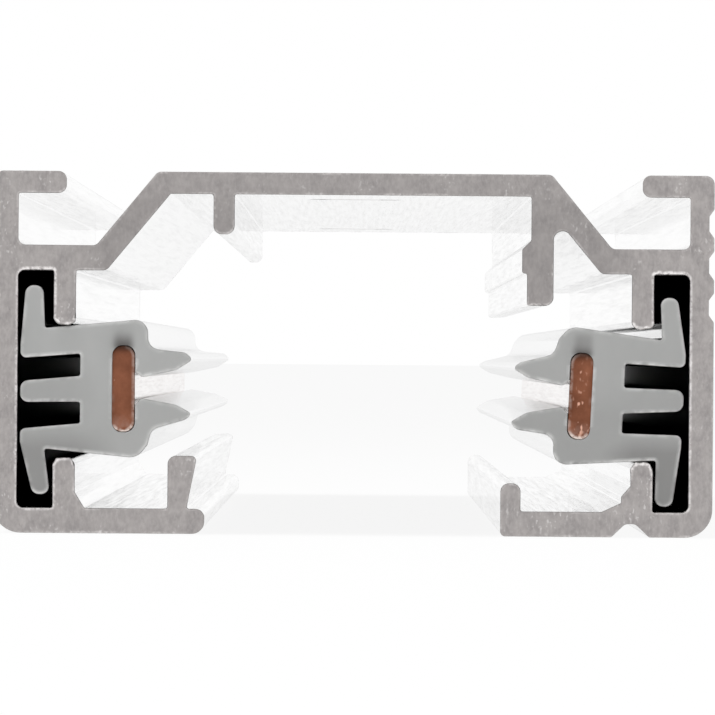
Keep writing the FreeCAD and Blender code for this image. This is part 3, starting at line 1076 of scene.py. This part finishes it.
# %% [markdown]
# The mesh's second number is put to two uses. On the walls it says where no light gets in:
# in the slots between the arms, and behind the webs, which the finish paints dark as painted
# shade. On the cut it gives painted shade over the crown, on the right with a paler haze round
# it, and a darkening of the lower arm, the middle rib and the lower part of the cut, which on
# the right is also a little darker all over.

# %% Painted shade and darkening of a strip
SLOT_HALF = 2.6 * MM
SLOT_LIT, SLOT_DARK = 13.2 * MM, 14.4 * MM
WEB_LIT, WEB_DARK = 15.0 * MM, 15.3 * MM
SHADE_OVER_CROWN = {"left": (0.83, 0.55 * MM), "right": (0.45, 0.28 * MM)}
SHADE_BELOW_CROWN, SHADE_HALF_WIDTH = 0.12 * MM, 0.50 * MM
SHADE_HAZE = {"left": 0.0, "right": 0.33}
SHADE_HAZE_LENGTH = 1.02 * MM
ARM_DARKENING = {"left": 0.36, "right": 0.42}
ARM_ACROSS, ARM_HEIGHT = (11.4 * MM, 14.0 * MM), (5.5 * MM, 4.2 * MM)
RIB_DARKENING = 0.13
RIB_ACROSS, RIB_HEIGHT = (12.6 * MM, 14.2 * MM), (8.8 * MM, 7.6 * MM)
LOWER_DARKENING = {"left": (0.0, 0.03), "right": (0.05, 0.10)}
LOWER_DARKENING_HEIGHT = (8.0 * MM, 6.0 * MM)


def strip_shade(side, p):
    """1 where no light gets in. The right strip has sunk, so light gets in over its upper arm."""
    seat = seats[side]
    if abs(seat.along(p)) < SLOT_HALF:
        return ramp(abs(p.x), SLOT_LIT, SLOT_DARK)
    if side == "right" and seat.middle.y < p.y < WINDOW_HIGH + LIT_TIP and p.x < LIT_TO:
        return 0.0
    return ramp(abs(p.x), WEB_LIT, WEB_DARK)


# Painted shade over the crown, and a darker lower arm, rib and lower part of the cut.
def cut_shade_and_darkening(side, p):
    up, beside = seats[side].from_crown(p)
    strength, length = SHADE_OVER_CROWN[side]
    if up < 0:
        fade = (strength + SHADE_HAZE[side]) * math.exp(-(up / SHADE_BELOW_CROWN) ** 2)
    else:
        fade = strength * math.exp(-(up / length) ** 2)
        fade += SHADE_HAZE[side] * math.exp(-(up / SHADE_HAZE_LENGTH) ** 8)
    shade_and_darkening = fade * math.exp(-(beside / SHADE_HALF_WIDTH) ** 4)
    arm = ARM_DARKENING[side] * ramp(abs(p.x), *ARM_ACROSS) * ramp(p.y, *ARM_HEIGHT)
    rib = RIB_DARKENING * ramp(abs(p.x), *RIB_ACROSS) * ramp(p.y, *RIB_HEIGHT)
    all_over, lower = LOWER_DARKENING[side]
    return max(shade_and_darkening, arm, rib, all_over + lower * ramp(p.y, *LOWER_DARKENING_HEIGHT))


# The printed number is the painted shade at the crown.
for side, seat in seats.items():
    print(side, "dust at the crown", round(cut_shade_and_darkening(side, seat.crown), 2))

# %% [markdown]
# With all of that in place a strip takes only a few lines. Its outline is read from the
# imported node, and it is sawn at the node's own ends.

# %% Strips
STRIP_STEP = 0.10 * MM
STRIP_NET = 0.13 * MM


def strip(side):
    node, seat = "insulator_" + side, seats[side]
    ends = [c.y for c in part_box(node)]
    shell, _, walls = sawn_length(outlines[node], ends, STRIP_STEP, STRIP_NET,
                                  rim=lambda p, n, end: strip_rim(seat, p, n, end),
                                  dish=lambda p, end: strip_dish(seat, p, end),
                                  on_wall=lambda p: strip_shade(side, p),
                                  on_face=lambda p: cut_shade_and_darkening(side, p))
    shell.band(walls[0], walls[1], False)
    return piece_from(shell, "dressed_strip_" + side, node, strip_plastic, cut_plastic)


strips = [strip(side) for side in ("left", "right")]

# %% [markdown]
# ## The conductors
#
# Copper drags under the saw, so the end of each conductor slants a little forward and has
# a lip along its lower edge, where the blade left. The lip, and a little of the side towards
# the middle, is painted bright: a painted highlight. At the front the lip is turned out over
# the seat. At the back it is taken to be dressed off. The upper end is painted dark, as
# painted shade of the strip's dish, and the foot is painted a little brighter than the rest,
# as a painted highlight.

# %% Conductors
CONDUCTOR_STEP = 0.06 * MM
CONDUCTOR_NET = 0.09 * MM
SLANT = 0.30 * MM
COPPER_UNEVEN = 0.02 * MM
LIP_FROM, LIP_FULL, SIDE_LIP = 0.2, 0.9, 0.25
TURNED_OUT = 0.040 * MM
CROWN_SHADE, CROWN_DARK, CROWN_FADE = 0.80, 0.06 * MM, 0.20 * MM
FOOT_GLINT, FOOT_FULL, FOOT_NONE = 0.10, 0.1 * MM, 0.9 * MM


def conductor(side, fleck_from):
    node = "conductor_" + side
    foot = min(p.y for p in outlines[node])
    crown = max(p.y for p in outlines[node])
    to_middle = -1 if side == "right" else 1

    def dish(p, end):
        forward = SLANT * (1 - ramp(p.y, foot, crown))
        return COPPER_UNEVEN * wander(p, 1.2, end, 4.4) - forward

    def rim(p, n, end):
        lip = ramp(-n.y, LIP_FROM, LIP_FULL) + SIDE_LIP * max(0.0, n.x * to_middle)
        lip = min(1.0, max(0.0, lip + 0.2 * wander(p, 2.0, end, 6.6)))
        return [
            (0.0, WALL_RING, 0.0),
            (0.0, 0.10 * MM, 0.0),
            (-TURNED_OUT if end > 0 else 0.0, 0.03 * MM, lip),
            (0.0, -0.02 * MM * lip, lip),
            (0.09 * MM, 0.0, 0.6 * lip),
            (0.16 * MM, 0.0, 0.0),
        ]

    # Painted shade over the upper end of the cut face.
    def crown_shade(p):
        below = max(0.0, crown - p.y - CROWN_DARK)
        return CROWN_SHADE * math.exp(-(below / CROWN_FADE) ** 2)

    ends = [c.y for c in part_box(node)]
    shell, _, walls = sawn_length(outlines[node], ends, CONDUCTOR_STEP, CONDUCTOR_NET, rim, dish,
                                  on_wall=lambda p: 0.0, on_face=crown_shade)
    shell.band(walls[0], walls[1], False)
    walled = set(walls[0]) | set(walls[1])
    # Painted highlight: the foot of the cut face is painted a little brighter.
    for i, point in enumerate(shell.points):
        if i not in walled:
            glint = FOOT_GLINT * ramp(point[2], foot + FOOT_NONE, foot + FOOT_FULL)
            shell.torn[i] = max(shell.torn[i], glint)
    cut = sawn_copper("sawn_copper_" + side, fleck_from)
    return piece_from(shell, "dressed_conductor_" + side, node, rolled_copper, cut)


conductors = [conductor("left", fleck_from=0.72), conductor("right", fleck_from=0.60)]
print("pieces", [piece.name for piece in (profile, *strips, *conductors)])
